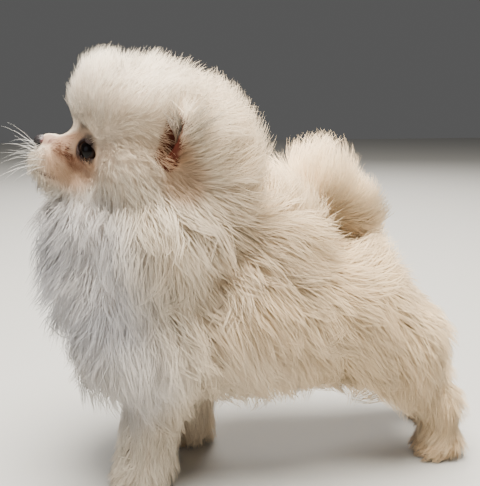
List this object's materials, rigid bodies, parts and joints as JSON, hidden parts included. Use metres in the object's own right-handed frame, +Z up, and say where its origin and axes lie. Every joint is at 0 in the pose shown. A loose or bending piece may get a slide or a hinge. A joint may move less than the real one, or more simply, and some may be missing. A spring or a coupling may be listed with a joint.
{
  "type": "pomeranian puppy",
  "caption": "Life-size still model of a standing fluffy white pomeranian puppy with its tail curled over its back.",
  "frame": {"origin": "on the floor under the middle of the model's box", "axes": "+Z up, the puppy faces -X and its left side faces -Y"},
  "size_m": [0.2492, 0.1396, 0.2162],
  "materials": {
    "coat": "soft long fur, cream white",
    "skin": "thin pink skin of the ear",
    "nose": "moist black",
    "eye": "wet dark brown"
  },
  "bodies": {
    "root": {"head": "coat", "neck": "coat", "torso": "coat", "tail": "coat", "left_foreleg": "coat", "right_foreleg": "coat", "left_hind_leg": "coat", "right_hind_leg": "coat", "left_forepaw": "coat", "right_forepaw": "coat", "left_hindpaw": "coat", "right_hindpaw": "coat", "left_ear": "skin", "right_ear": "skin", "left_eye": "eye", "right_eye": "eye", "nose": "nose"}
  },
  "joints": []
}
